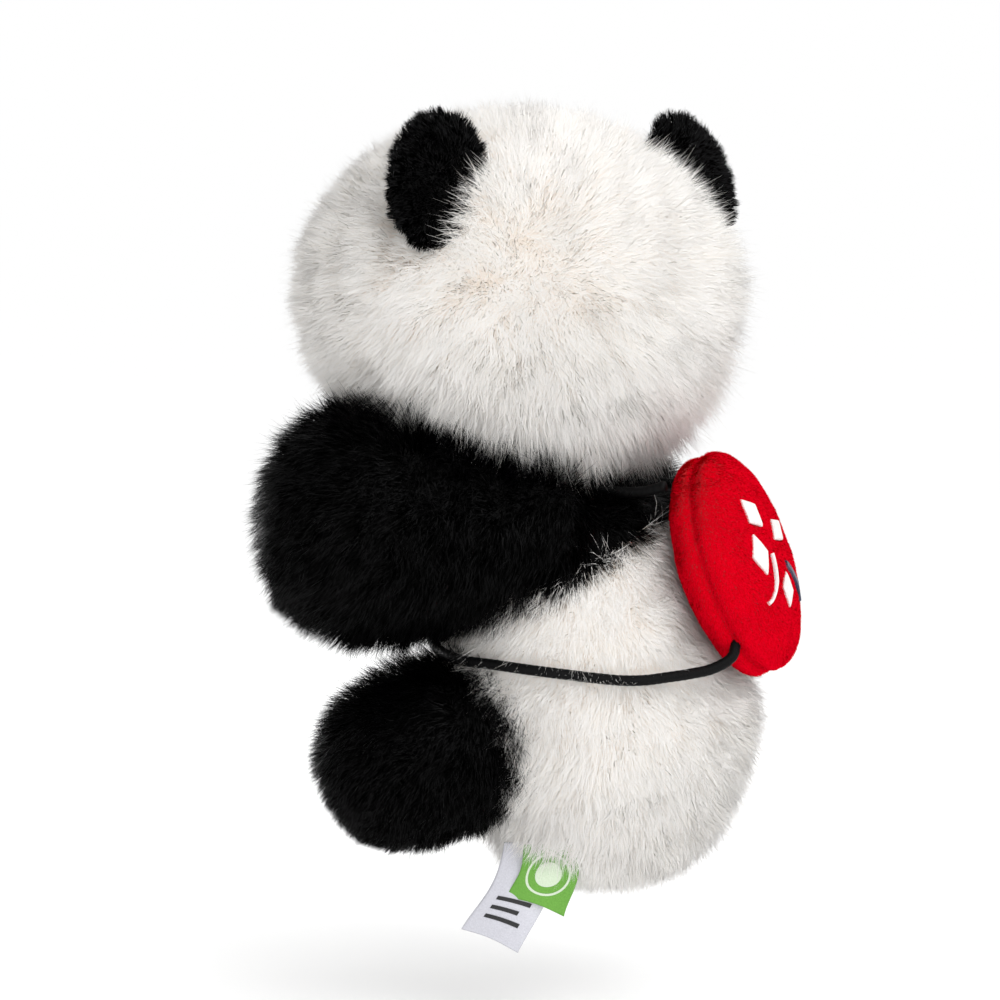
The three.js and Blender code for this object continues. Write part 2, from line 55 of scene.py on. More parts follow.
# The seat frame is in millimetres, with its origin 7 mm under the seat panel and +Z up.
MOUNTS = {m["name"]: m for m in frame["record"]["mounts"]}
SEAT_PANEL_Z = 7.0
SEAT = np.array(MOUNTS["seat_face"]["pos_m"]) - np.array([0, 0, SEAT_PANEL_Z * MM])

HEAD_CENTRE = np.array([0.0, -26, 165])
HEAD_SEMI = np.array([57.0, 51, 44])
HEAD_TURN = math.radians(-22)
MUZZLE_CENTRE = np.array([0.0, -42, -14])
MUZZLE_SEMI = np.array([20.0, 16, 15])
NECK = np.array([0.0, -16, 117])
NECK_PROFILE = np.array([
    [0, -15.2], [8, -13], [13.2, -7.5], [15.1, 0], [13.4, 5], [12.1, 10], [12, 20], [11, 21.8],
    [0, 22],
], float)
EYE_X, EYE_Z = 19.0, 5.0
EAR_BASE = np.array([40.0, 21.5, 26])
EAR_WIDTH_DIR = np.array([-0.47, -0.12, 0.87])
EAR_HEIGHT_DIR = np.array([0.8, -0.1, 0.4])
EAR_SEMI = np.array([17.5, 13.5, 4.2])
EAR_CENTRE_UP = 9.0
TORSO_PROFILE = np.array([
    [0, 7], [12, 7], [19, 10.5], [25.5, 17], [31, 27], [35, 38], [36.5, 50], [35.5, 64],
    [33, 80], [29.5, 95], [25, 105], [18.5, 111.5], [9, 114.5], [0, 115],
], float)
LEAN, LEAN_FROM = 0.2, 50.0
YOKE_SPINE_Z, YOKE_DROP = 101.0, 13.0
ARM_ROOT = np.array([25.0, -12, 100.4])
ARM_DIR = np.array([0.56, -0.826, 0.07])
ARM_PROFILE = np.array([
    [0, -17], [9, -15.5], [15.5, -11], [19, -3], [22.5, 12], [25.8, 26], [28, 40], [26.5, 51],
    [20.5, 60.5], [11, 66.5], [0, 68.5],
], float)
ARM_INNER_X = 23.6
LEG_ROOT = np.array([25.0, -20.5, 45])
LEG_DIR = np.array([0.54, -0.766, -0.35])
LEG_PROFILE = np.array([
    [0, -13], [8, -11.5], [14.5, -7], [19, 2], [21.5, 13], [21.5, 24], [19.5, 34], [15.5, 41.5],
    [8.5, 46], [0, 47.5],
], float)
LEG_INNER_X = 15.0
PACK_CENTRE = np.array([0.0, 40.3, 91])
PACK_TILT = math.radians(19)
PACK_STRETCH = np.array([0.866, 1.067, 1])
PACK_HALF_PROFILE = np.array([
    [0, 11], [9, 10.8], [17, 9.8], [23.5, 7.6], [27.6, 4.6], [28.4, 2.2], [27.4, 0],
], float)
STRAP_RADIUS = 1.5
STRAP_POINTS = np.array([
    [15.6, 46.6, 72.6], [18.2, 47.4, 69.4], [20.6, 45.8, 66.4], [22.8, 41.5, 64.4], [28, 34.5, 63],
    [36.3, 23.6, 62.1], [44, 5, 64.1], [42.5, -14, 65.2], [38, -26.5, 65.5], [29.5, -37.5, 68.5],
    [20, -42.5, 77],
    [18.5, -43.5, 90], [18, -39, 102], [17.5, -30, 110], [17.6, -16, 114.6], [17, -2, 113.4],
    [16.2, 12, 110.8], [16, 23, 111.8], [16.1, 30.2, 115.1],
], float)
LABEL_ANCHOR = np.array([28.0, -8, 14.5])
FLOOR_Z = -34.0
FLOOR_HALF_SIZE_M = 30.0

# The skins lie this far under the surfaces that the fibres grow from.
SKIN_INSET = 0.4

# Fibres for each square millimetre, and their length in millimetres.
HEAD_DENSITY, HEAD_PILE, HEAD_PILE_CLOSE = 6.0, 14.5, 5.0
MUZZLE_DENSITY, MUZZLE_PILE = 8.0, 4.0
PATCH_DENSITY, PATCH_PILE = 3.4, 4.0
EAR_DENSITY, EAR_PILE, EAR_RIM_EXTRA = 9.0, 3.6, 1.0
TORSO_DENSITY, TORSO_PILE = 5.6, 13.5
LIMB_DENSITY, INNER_PILE = 4.4, 3.5
ARM_PILE, LEG_PILE = (12, 12, 10), (12, 11, 8)
PACK_DENSITY, PACK_PILE, SEAM_PILE = 22.0, 1.3, 0.6
TUFT_SIZE = 11.0
BACK_FACE_GAP = 0.02
NEAREST_CHUNK = 20000
PACK_GAP, STRAP_GAP = 1.2, 0.6
# Over the shoulder, above this height, the pile closes over the straps.
STRAP_SHOWN_TO = 96.0

VIEW_AZIMUTH, VIEW_ELEVATION = math.radians(115), math.radians(5)
VIEW_CENTRE = np.array([3.4, -29.3, 106.0])
FRAME_WIDTH = 280.0
LENS, SENSOR = 135.0, 36.0

UP = np.array([0.0, 0, 1])


# Small helpers

def row(points):
    """Seat-frame millimetres to row-frame metres."""
    return np.asarray(points, float) * MM + SEAT


def unit(v):
    v = np.asarray(v, float)
    return v / np.maximum(np.linalg.norm(v, axis=-1, keepdims=True), 1e-9)


def turned(v, angle):
    """Vectors turned about +Z."""
    c, s = math.cos(angle), math.sin(angle)
    v = np.asarray(v, float)
    return np.stack([v[..., 0] * c - v[..., 1] * s, v[..., 0] * s + v[..., 1] * c, v[..., 2]], -1)


def mirror(v):
    return np.asarray(v, float) * np.array([-1.0, 1, 1])


def to_left(v):
    """Points on the right side mirrored to the left, the others as they are."""
    return v * np.where(v[:, :1] < 0, [-1.0, 1, 1], [1.0, 1, 1])


def smooth_curve(points, count):
    """Catmull-Rom through the points, then evenly spaced."""
    p = np.vstack([2 * points[0] - points[1], points, 2 * points[-1] - points[-2]])
    out = []
    for i in range(1, len(p) - 2):
        t = np.linspace(0, 1, 16, endpoint=False)[:, None]
        a, b, c, d = p[i - 1], p[i], p[i + 1], p[i + 2]
        out.append(0.5 * (2 * b + (c - a) * t + (2 * a - 5 * b + 4 * c - d) * t**2
                          + (3 * b - a - 3 * c + d) * t**3))
    out = np.vstack(out + [p[-2][None]])
    gaps = np.concatenate([[0], np.cumsum(np.linalg.norm(np.diff(out, axis=0), axis=1))])
    at = np.linspace(0, gaps[-1], count)
    return np.stack([np.interp(at, gaps, out[:, k]) for k in range(out.shape[1])], 1)


def waves(p, size, seed, octaves=3):
    """Smooth noise in about -1..1 at points p, with features of the given size."""
    rng = np.random.default_rng(seed)
    total = np.zeros(len(p))
    for octave in range(octaves):
        for _ in range(4):
            k = unit(rng.normal(size=3)) * (2 * math.pi / size) * 2**octave
            total += np.sin(p @ k + rng.uniform(0, 2 * math.pi)) / 4 / 1.6**octave
    return total


def new_mesh(name, verts, polys, slots=(), smooth=True, poly_slot=None, shading=None):
    """A mesh object from row-frame vertices. polys lists an index array for each polygon size."""
    me = bpy.data.meshes.new(name)
    polys = [np.asarray(p, np.int32) for p in polys if len(p)]
    corners = np.concatenate([p.ravel() for p in polys])
    sizes = np.concatenate([np.full(len(p), p.shape[1]) for p in polys])
    me.vertices.add(len(verts))
    me.vertices.foreach_set("co", np.asarray(verts, np.float32).ravel())
    me.loops.add(len(corners))
    me.loops.foreach_set("vertex_index", corners.astype(np.int32))
    me.polygons.add(len(sizes))
    starts = np.concatenate([[0], np.cumsum(sizes)[:-1]])
    me.polygons.foreach_set("loop_start", starts.astype(np.int32))
    me.polygons.foreach_set("use_smooth", np.full(len(sizes), smooth))
    for material in slots:
        me.materials.append(material)
    if poly_slot is not None:
        me.polygons.foreach_set("material_index", np.asarray(poly_slot, np.int32))
    me.update(calc_edges=True)
    if shading is not None:
        me.normals_split_custom_set_from_vertices(shading.astype(np.float32))
    ob = bpy.data.objects.new(name, me)
    bpy.context.scene.collection.objects.link(ob)
    return ob


# Materials

def srgb(r, g, b):
    """Linear RGBA of an 8-bit sRGB colour."""
    levels = [c / 255 for c in (r, g, b)]
    return tuple(c / 12.92 if c <= 0.04 else ((c + 0.055) / 1.055) ** 2.4 for c in levels) + (1.0,)


def plain(name, colour, roughness, sheen=0.0, specular=0.5):
    mat = bpy.data.materials.new(name)
    mat.use_nodes = True
    p = mat.node_tree.nodes["Principled BSDF"]
    p.inputs["Base Color"].default_value = colour
    p.inputs["Roughness"].default_value = roughness
    p.inputs["Specular IOR Level"].default_value = specular
    p.inputs["Sheen Weight"].default_value = sheen
    p.inputs["Sheen Roughness"].default_value = 0.5
    return mat


def woven(name, dark, light, roughness, scale, bump=0.3, sheen=0.3, specular=0.5):
    """Knitted or felted cloth: two tones mixed by a fine and a wide noise, with a fine bump."""
    mat = plain(name, light, roughness, sheen, specular)
    nt = mat.node_tree
    p = nt.nodes["Principled BSDF"]
    coord = nt.nodes.new("ShaderNodeTexCoord")
    fine = nt.nodes.new("ShaderNodeTexNoise")
    fine.inputs["Scale"].default_value = scale
    fine.inputs["Detail"].default_value = 6
    wide = nt.nodes.new("ShaderNodeTexNoise")
    wide.inputs["Scale"].default_value = 40
    ramp = nt.nodes.new("ShaderNodeValToRGB")
    ramp.color_ramp.elements[0].position = 0.35
    ramp.color_ramp.elements[0].color = dark
    ramp.color_ramp.elements[1].position = 0.65
    ramp.color_ramp.elements[1].color = light
    both = nt.nodes.new("ShaderNodeMath")
    both.operation = "MULTIPLY_ADD"
    both.inputs[1].default_value = 0.6
    half = nt.nodes.new("ShaderNodeMath")
    half.operation = "MULTIPLY"
    half.inputs[1].default_value = 0.4
    bumps = nt.nodes.new("ShaderNodeBump")
    bumps.inputs["Strength"].default_value = bump
    bumps.inputs["Distance"].default_value = 0.0006
    nt.links.new(coord.outputs["Object"], fine.inputs["Vector"])
    nt.links.new(coord.outputs["Object"], wide.inputs["Vector"])
    nt.links.new(wide.outputs["Fac"], half.inputs[0])
    nt.links.new(fine.outputs["Fac"], both.inputs[0])
    nt.links.new(half.outputs[0], both.inputs[2])
    nt.links.new(both.outputs[0], ramp.inputs["Fac"])
    nt.links.new(ramp.outputs["Color"], p.inputs["Base Color"])
    nt.links.new(fine.outputs["Fac"], bumps.inputs["Height"])
    nt.links.new(bumps.outputs["Normal"], p.inputs["Normal"])
    return mat


def glossy(name, colour, roughness, specular=0.5):
    """Moulded plastic with faint flow marks in its polish."""
    mat = plain(name, colour, roughness, 0.0, specular)
    nt = mat.node_tree
    p = nt.nodes["Principled BSDF"]
    coord = nt.nodes.new("ShaderNodeTexCoord")
    marks = nt.nodes.new("ShaderNodeTexNoise")
    marks.inputs["Scale"].default_value = 260
    marks.inputs["Detail"].default_value = 4
    spread = nt.nodes.new("ShaderNodeMapRange")
    spread.inputs["To Min"].default_value = roughness * 0.7
    spread.inputs["To Max"].default_value = roughness * 1.5
    nt.links.new(coord.outputs["Object"], marks.inputs["Vector"])
    nt.links.new(marks.outputs["Fac"], spread.inputs["Value"])
    nt.links.new(spread.outputs["Result"], p.inputs["Roughness"])
    return mat


# In each fibre set, the root tone is darker and the tip tone lighter: painted shade deep in the pile
# and painted light at its surface. The two middle tones differ at random from fibre to fibre.
WHITE_FIBRES = [
    plain("white_fibre_root", srgb(252, 242, 232), 1.0, 0.0, 0.0),
    plain("white_fibre_cream", srgb(249, 244, 237), 1.0, 0.0, 0.0),
    plain("white_fibre", srgb(250, 247, 243), 1.0, 0.0, 0.02),
    plain("white_fibre_tip", srgb(251, 249, 246), 0.9, 0.0, 0.04),
]
BLACK_FIBRES = [
    plain("black_fibre_root", srgb(1, 1, 1), 1.0, 0.0, 0.0),
    plain("black_fibre_deep", srgb(1, 1, 1), 0.6, 0.0, 0.0),
    plain("black_fibre", srgb(2, 2, 2), 0.45, 0.0, 0.025),
    plain("black_fibre_tip", srgb(5, 5, 6), 0.34, 0.0, 0.09),
]
RED_FIBRES = [
    plain("red_fibre_root", srgb(200, 0, 16), 1.0, 0.0, 0.0),
    plain("red_fibre_deep", srgb(212, 0, 22), 1.0, 0.0, 0.0),
    plain("red_fibre", srgb(216, 0, 25), 1.0, 0.0, 0.0),
    plain("red_fibre_tip", srgb(222, 2, 32), 1.0, 0.0, 0.01),
]
WHITE_SKIN = woven("white_knit_backing", srgb(236, 226, 214), srgb(250, 243, 234), 0.95, 900)
BLACK_SKIN = woven("black_knit_backing", srgb(3, 3, 3), srgb(8, 8, 9), 0.9, 900, 0.3, 0.0)
RED_SKIN = woven("red_knit_backing", srgb(150, 0, 10), srgb(200, 0, 18), 0.9, 900, 0.3, 0.0)
MOTIF_WHITE = woven("motif_white_felt", srgb(212, 206, 204), srgb(234, 230, 228), 0.85, 1400,
                    0.5, 0.0)
MOTIF_NAVY = woven("motif_navy_felt", srgb(16, 20, 44), srgb(30, 38, 74), 0.85, 1400, 0.5)
FILLING = woven("polyester_filling", srgb(228, 228, 224), srgb(250, 250, 248), 1.0, 500, 0.8)
BAG_CLOTH = woven("pellet_bag_cotton", srgb(196, 190, 178), srgb(222, 216, 206), 0.95, 1200, 0.6)


# Surfaces, as grids of points in the seat frame with outward faces

def grid_polys(rings, around):
    r, a = np.meshgrid(np.arange(rings - 1), np.arange(around), indexing="ij")
    b = (a + 1) % around
    return np.stack([r * around + a, r * around + b, (r + 1) * around + b, (r + 1) * around + a],
                    -1).reshape(-1, 4)


def ball_grid(semi, rings=90, around=150):
    t = np.linspace(0.002, math.pi - 0.002, rings)[::-1, None]
    a = np.linspace(0, 2 * math.pi, around, endpoint=False)[None]
    p = np.stack([np.sin(t) * np.cos(a), np.sin(t) * np.sin(a), np.cos(t) * np.ones_like(a)], -1)
    return p.reshape(-1, 3) * semi, grid_polys(rings, around)


def lathe_grid(profile, rings=90, around=120):
    line = smooth_curve(profile, rings)
    line[:, 0] = np.maximum(line[:, 0], 0.02)
    a = np.linspace(0, 2 * math.pi, around, endpoint=False)[None]
    r, z = line[:, :1], line[:, 1:2]
    p = np.stack([r * np.cos(a), r * np.sin(a), z * np.ones_like(a)], -1)
    return p.reshape(-1, 3), grid_polys(rings, around)


def basis_along(direction):
    z = unit(direction)
    x = unit(np.cross(UP, z))
    return np.stack([x, np.cross(z, x), z])


def aimed(points, direction, origin):
    return points @ basis_along(direction) + origin


def lean(points):
    p = points.copy()
    p[:, 1] -= LEAN * np.maximum(0, p[:, 2] - LEAN_FROM)
    return p


def inside_limb(p, profile, direction, origin, grow):
    q = (p - origin) @ basis_along(direction).T
    radius = np.interp(q[:, 2], profile[:, 1], profile[:, 0] + grow, left=-1, right=-1)
    return np.hypot(q[:, 0], q[:, 1]) < radius


def inside_torso(p, grow):
    y = p[:, 1] + LEAN * np.maximum(0, p[:, 2] - LEAN_FROM)
    radius = np.interp(p[:, 2], TORSO_PROFILE[:, 1], TORSO_PROFILE[:, 0], left=-1, right=-1)
    return np.hypot(p[:, 0], y) < radius + grow


PACK_PROFILE = np.vstack([PACK_HALF_PROFILE * [1, -1], PACK_HALF_PROFILE[-2::-1]])
PACK_OUT = np.array([0, math.cos(PACK_TILT), math.sin(PACK_TILT)])
PACK_UP = np.array([0, -math.sin(PACK_TILT), math.cos(PACK_TILT)])
PACK_AXES = np.stack([[-1.0, 0, 0], PACK_UP, PACK_OUT])


def pack_place(p):
    """From the pack's own frame (across, up, out) to the seat frame."""
    return p @ PACK_AXES + PACK_CENTRE


def inside_pack(p, grow):
    q = (p - PACK_CENTRE) @ PACK_AXES.T / PACK_STRETCH
    radius = np.interp(q[:, 2], PACK_PROFILE[:, 1], PACK_PROFILE[:, 0] + grow, left=-1, right=-1)
    return np.hypot(q[:, 0], q[:, 1]) < radius


def head_place(p):
    return turned(p, HEAD_TURN) + HEAD_CENTRE


def ear_frame(side):
    """The ear's width, height and back directions in the head frame."""
    b = unit(EAR_WIDTH_DIR)
    d = unit(EAR_HEIGHT_DIR - b * np.dot(EAR_HEIGHT_DIR, b))
    n = np.cross(b, d)
    flip = np.array([side, 1, 1])
    return b * flip, d * flip, n * flip


LEFT_STRAP_LINE = smooth_curve(STRAP_POINTS, 140)
STRAP_LINES = np.vstack([LEFT_STRAP_LINE, mirror(LEFT_STRAP_LINE)])


# Fur: tapered flat fibres, clumped at their tips


def sample_surface(p, polys, per_mm2, seed):
    """Random roots and normals over a grid surface."""
    rng = np.random.default_rng(seed)
    tris = np.vstack([polys[:, [0, 1, 2]], polys[:, [0, 2, 3]]])
    a, b, c = p[tris[:, 0]], p[tris[:, 1]], p[tris[:, 2]]
    cross = np.cross(b - a, c - a)
    area = np.linalg.norm(cross, axis=1) / 2
    corner = np.zeros_like(p)
    for k in range(3):
        np.add.at(corner, tris[:, k], cross)
    corner = unit(corner)
    count = int(area.sum() * per_mm2 * (1))
    pick = rng.choice(len(tris), count, p=area / area.sum())
    u, v = rng.random(count), rng.random(count)
    over = u + v > 1
    u[over], v[over] = 1 - u[over], 1 - v[over]
    w = np.stack([1 - u - v, u, v], 1)[:, :, None]
    roots = (p[tris[pick]] * w).sum(1)
    return roots, unit((corner[tris[pick]] * w).sum(1))


def nearest_lines(points, lines):
    """Each point's distance to the nearest of the line points."""
    best = np.full(len(points), 1e9)
    for start in range(0, len(points), NEAREST_CHUNK):
        part = slice(start, start + NEAREST_CHUNK)
        best[part] = np.sqrt(((points[part][:, None] - lines[None]) ** 2).sum(-1).min(1))
    return best


def gather(roots, middle, tips, pull, centres):
    """Pull the fibres toward the nearest of the clump centres, most of all at their tips."""
    tree = KDTree(len(centres))
    for i, c in enumerate(centres):
        tree.insert(roots[c], i)
    tree.balance()
    near = centres[np.array([tree.find(p)[1] for p in roots])]
    tips += (tips[near] + (roots - roots[near]) * 0.45 - tips) * pull
    middle += (middle[near] + (roots - roots[near]) * 0.8 - middle) * pull * 0.4


def shorten(hit, roots, middle, tips, tip_share):
    middle[hit] = roots[hit] + (middle[hit] - roots[hit]) * 0.6
    tips[hit] = middle[hit] + (tips[hit] - middle[hit]) * tip_share


def clear_pack_and_straps(roots, middle, tips):
    """Shorten the fibres that would reach into the pack or over a bare stretch of strap."""
    for _ in range(3):
        hit = inside_pack(tips, PACK_GAP) | inside_pack(middle, PACK_GAP)
        shorten(hit, roots, middle, tips, 0.5)
    low = STRAP_LINES[STRAP_LINES[:, 2] < STRAP_SHOWN_TO]
    distance = np.minimum(nearest_lines(middle, low), nearest_lines(tips, low))
    shorten(distance < STRAP_RADIUS + STRAP_GAP, roots, middle, tips, 0.45)


def ribbons(line, normals, roll, half, steps, softness):
    """Tapered ribbons along the lines, each ending in a point, with the normals they are shaded by."""
    segments = len(line) - 1
    verts = np.empty((len(normals), 2 * segments + 1, 3))
    shading = np.empty(verts.shape)
    for k in range(segments):
        tangent = unit(line[k + 1] - line[k])
        across = unit(np.cross(tangent, normals))
        away = np.cross(across, tangent)
        side = across * np.cos(roll) + away * np.sin(roll)
        verts[:, 2 * k] = line[k] - side * half * steps[k]
        verts[:, 2 * k + 1] = line[k] + side * half * steps[k]
        face = np.cross(side, tangent)
        face *= np.sign((face * normals).sum(1, keepdims=True) + 1e-6)
        shading[:, 2 * k:2 * k + 3] = unit(face * (1 - softness) + normals * softness)[:, None]
    verts[:, -1] = line[-1]
    start = np.arange(len(normals))[:, None] * (2 * segments + 1)
    quads = np.concatenate([start + np.array([2 * k, 2 * k + 1, 2 * k + 3, 2 * k + 2])
                            for k in range(segments - 1)])
    tris = start + np.array([2 * segments - 2, 2 * segments - 1, 2 * segments])
    return verts.reshape(-1, 3), shading.reshape(-1, 3), quads, tris


def fibres(name, body, roots, normals, flow, length, fibre_slots, seed, width, lift, droop,
           clump=0.4, per_clump=30, scatter=0.22, segments=3, keep_clear=True,
           steps=(1.0, 0.9, 0.62), strays=0.12, softness=0.8, fluff=0.5, two_sided=False):
    """One fur mesh. flow and length have a value per root. lift is how far the fibres stand off the
    skin, droop how far they hang, clump how far tips gather, and scatter how far fibres go astray.
    strays is the share of longer, finer fibres that stay out of the clumps, softness how far the
    fibres take their shading from the skin under them, and fluff how far tufts lean their own way.
    Only black pile casts a shadow, because light goes through thin white and red fibres."""
    rng = np.random.default_rng(seed)
    n = len(roots)
    stray = (rng.random(n) < strays)[:, None]
    length = length * rng.uniform(0.72, 1.06, n) * np.where(stray[:, 0], 1.18, 1)
    loose = scatter * np.where(stray, 1.7, 1)
    tuft = np.stack([waves(roots, TUFT_SIZE, seed + 7 + k) for k in range(3)], 1) * fluff
    first = unit(normals * (lift + 0.35) + flow * (1 - lift) + tuft * 0.5
                 + rng.normal(size=(n, 3)) * loose)
    last = unit(first * (0.45 + 0.5 * lift) + flow * (1 - lift) * 1.3 - UP * droop + tuft
                + rng.normal(size=(n, 3)) * loose * 0.9 + normals * 0.15)
    middle = roots + first * length[:, None] * 0.5
    tips = middle + last * length[:, None] * 0.5
    centres = rng.choice(n, max(1, n // per_clump), replace=False)
    pull = clump * rng.uniform(0.3, 1.2, n)[:, None] * np.where(stray, 0, 1)
    gather(roots, middle, tips, pull, centres)
    if keep_clear:
        clear_pack_and_straps(roots, middle, tips)
    line = [roots * (1 - t) ** 2 + 2 * middle * t * (1 - t) + tips * t**2
            for t in np.linspace(0, 1, segments + 1)]
    roll = rng.normal(size=n)[:, None] * 0.5
    half = width * 1 * rng.uniform(0.7, 1.2, n)[:, None] / 2
    half = half * np.where(stray, 0.6, 1)
    verts, shading, quads, tris = ribbons(line, normals, roll, half, steps, softness)
    tone = 1.7 + waves(roots, 30, seed + 5) * 0.5 + rng.normal(size=n) * 0.5
    tone = np.clip(tone, 1, 2.49).round()
    # Root segments take the darker root tone, painted shade deep in the pile. Most tips take the
    # lighter tip tone, painted light. The middle tone is random per fibre.
    quad_slots = [np.zeros(n) if k == 0 else tone for k in range(segments - 1)]
    tip_slot = np.where(rng.random(n) < 0.55, 3, tone)
    slots = np.concatenate([*quad_slots, tip_slot]).astype(np.int32)
    if two_sided:
        count = len(verts)
        verts = np.vstack([verts, verts - shading * BACK_FACE_GAP])
        shading = np.vstack([shading, shading])
        quad_part, tri_part = slots[:len(quads)], slots[len(quads):]
        slots = np.concatenate([quad_part, quad_part, tri_part, tri_part])
        quads = np.vstack([quads, quads[:, ::-1] + count])
        tris = np.vstack([tris, tris[:, ::-1] + count])
    ob = new_mesh(name, row(verts), [quads, tris], fibre_slots, True, slots, shading)
    ob.visible_shadow = fibre_slots is BLACK_FIBRES
    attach(ob, body)


def skin(name, body, p, polys, material, stands_for):
    ob = new_mesh(name, row(p), [polys], [material])
    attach(ob, body)
    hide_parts(*stands_for)


def along(normals, direction):
    """The part of a direction that lies in the skin, as unit vectors."""
    d = np.broadcast_to(np.asarray(direction, float), normals.shape)
    return unit(d - normals * (d * normals).sum(1, keepdims=True))


# Head

def flow_from(points, normals, whorl, down):
    """Nap that runs away from the whorl and a little down. It stands up near the whorl itself."""
    away = points - whorl
    strength = np.clip(np.linalg.norm(away, axis=1, keepdims=True) / WHORL_SIZE, 0, 1)
    return along(normals, unit(away) - UP * down) * strength


def on_head(x, z, lift):
    semi = HEAD_SEMI + lift
    y = -semi[1] * math.sqrt(1 - (x / semi[0]) ** 2 - (z / semi[2]) ** 2)
    p = np.array([x, y, z])
    return p, unit(p / semi**2)


def on_muzzle(x, z, lift):
    semi = MUZZLE_SEMI + lift
    dz = z - MUZZLE_CENTRE[2]
    y = -semi[1] * math.sqrt(1 - (x / semi[0]) ** 2 - (dz / semi[2]) ** 2)
    p = np.array([x, y, dz])
    return p + MUZZLE_CENTRE, unit(p / semi**2)


PATCH_SEMI = np.array([9.5, 13.0])
PATCH_TILT = math.radians(28)
PATCH_PROUD = 1.1


def in_eye_patch(p, grow):
    """Whether head-frame points lie in either eye patch's outline."""
    x, z = np.abs(p[:, 0]) - EYE_X - 1.5, p[:, 2] - EYE_Z + 1.5
    u = x * math.cos(PATCH_TILT) + z * math.sin(PATCH_TILT)
    v = -x * math.sin(PATCH_TILT) + z * math.cos(PATCH_TILT)
    return ((u / (PATCH_SEMI[0] + grow)) ** 2 + (v / (PATCH_SEMI[1] + grow)) ** 2 < 1) & (p[:, 1] < 0)


def in_muzzle(p, grow):
    return (((p - MUZZLE_CENTRE) / (MUZZLE_SEMI + grow)) ** 2).sum(1) < 1


def in_ear_root(p):
    """Head-frame points under either ear."""
    b, _, n = ear_frame(1)
    q = to_left(p) - EAR_BASE
    return (np.abs(q @ b) < EAR_SEMI[0] - 2) & (np.abs(q @ n) < EAR_SEMI[2] - 1)


def on_neck(p, neck, radius):
    """Points over the hole where the neck comes through."""
    return np.hypot(p[:, 0] - neck[0], p[:, 1] - neck[1]) < radius


WHORL = np.array([27.0, 42, 10])
WHORL_SIZE = 34.0
NOSE_Z, NOSE_RADIUS = -9, 5.6
EYE_RADIUS = 5.2


def make_head():
    p, polys = ball_grid(HEAD_SEMI - SKIN_INSET)
    skin("head_skin", "head", head_place(p), polys, WHITE_SKIN, ("head_back_cover", "face_panel"))
    p, polys = ball_grid(HEAD_SEMI)
    r, n = sample_surface(p, polys, HEAD_DENSITY, SEED + 1)
    keep = ~in_eye_patch(r, 0.3) & ~in_muzzle(r, -1.0) & ~in_ear_root(r)
    neck = turned((NECK - HEAD_CENTRE)[None], -HEAD_TURN)[0]
    keep &= ~(on_neck(r, neck, 15) & (r[:, 2] < 0))
    r, n = r[keep], n[keep]
    front = np.clip((-r[:, 1] - 4) / 40, 0, 1)
    crown = np.clip((r[:, 2] - 10) / 34, 0, 1)
    nape = np.clip((-r[:, 2] - 8) / 26, 0, 1) * np.clip(r[:, 1] / 30, 0, 1)
    length = HEAD_PILE - 6.0 * front - 4.0 * crown + 8 * nape
    b, _, back = ear_frame(1)
    q = to_left(r) - EAR_BASE
    by_ear = (np.abs(q @ b) < EAR_SEMI[0] + 3) & (np.linalg.norm(q - np.outer(q @ b, b), axis=1) < 13)
    behind = q @ back > 0
    length[by_ear & ~behind] *= 0.55
    length[by_ear & behind & (r[:, 0] < 0)] *= 0.45
    length[in_muzzle(r, 7) | in_eye_patch(r, 5)] = HEAD_PILE_CLOSE
    flow = flow_from(r, n, WHORL, 0.55)
    face_flow = along(n, unit(r - np.array([0, -60, -10])))
    flow = flow * (1 - front[:, None]) + face_flow * front[:, None]
    fibres("head_fur", "head", head_place(r), turned(n, HEAD_TURN), turned(flow, HEAD_TURN), length,
           WHITE_FIBRES, SEED + 2, width=0.2, lift=0.62, droop=0.2, clump=0.42, per_clump=44,
           scatter=0.3, strays=0.2, softness=0.93, fluff=0.62, two_sided=True)
    make_muzzle()


def make_muzzle():
    p, polys = ball_grid(MUZZLE_SEMI - 0.3, 50, 80)
    skin("muzzle_skin", "head", head_place(p + MUZZLE_CENTRE), polys, WHITE_SKIN, ("muzzle_cover",))
    p, polys = ball_grid(MUZZLE_SEMI, 50, 80)
    r, n = sample_surface(p, polys, MUZZLE_DENSITY, SEED + 3)
    r = r + MUZZLE_CENTRE
    nose_at = on_muzzle(0, NOSE_Z, 0)[0]
    on_mouth = (np.abs(r[:, 0]) < 8.5) & (r[:, 2] > -22.6) & (r[:, 2] < -18) & (r[:, 1] < -50)
    keep = ((r / HEAD_SEMI) ** 2).sum(1) > 0.99
    keep &= np.linalg.norm(r - nose_at, axis=1) > NOSE_RADIUS
    keep &= ~on_mouth
    r, n = r[keep], n[keep]
    flow = along(n, unit(r - nose_at))
    fibres("muzzle_fur", "head", head_place(r), turned(n, HEAD_TURN), turned(flow, HEAD_TURN),
           np.full(len(r), MUZZLE_PILE), WHITE_FIBRES, SEED + 4, width=0.22, lift=0.35, droop=0.1,
           segments=2, keep_clear=False, steps=(1.0, 0.7), softness=0.93, two_sided=True)


EYE_DOME = np.array([
    [0, 0.05], [5.3, 0.05], [5.45, 0.5], [5.1, 1.8], [4, 3], [2.2, 3.85], [0, 4.15],
])
NOSE_DOME = np.array([
    [0, 0.05], [6.1, 0.05], [6.6, 0.9], [6.1, 2.3], [4.3, 3.6], [2, 4.2], [0, 4.35],
])


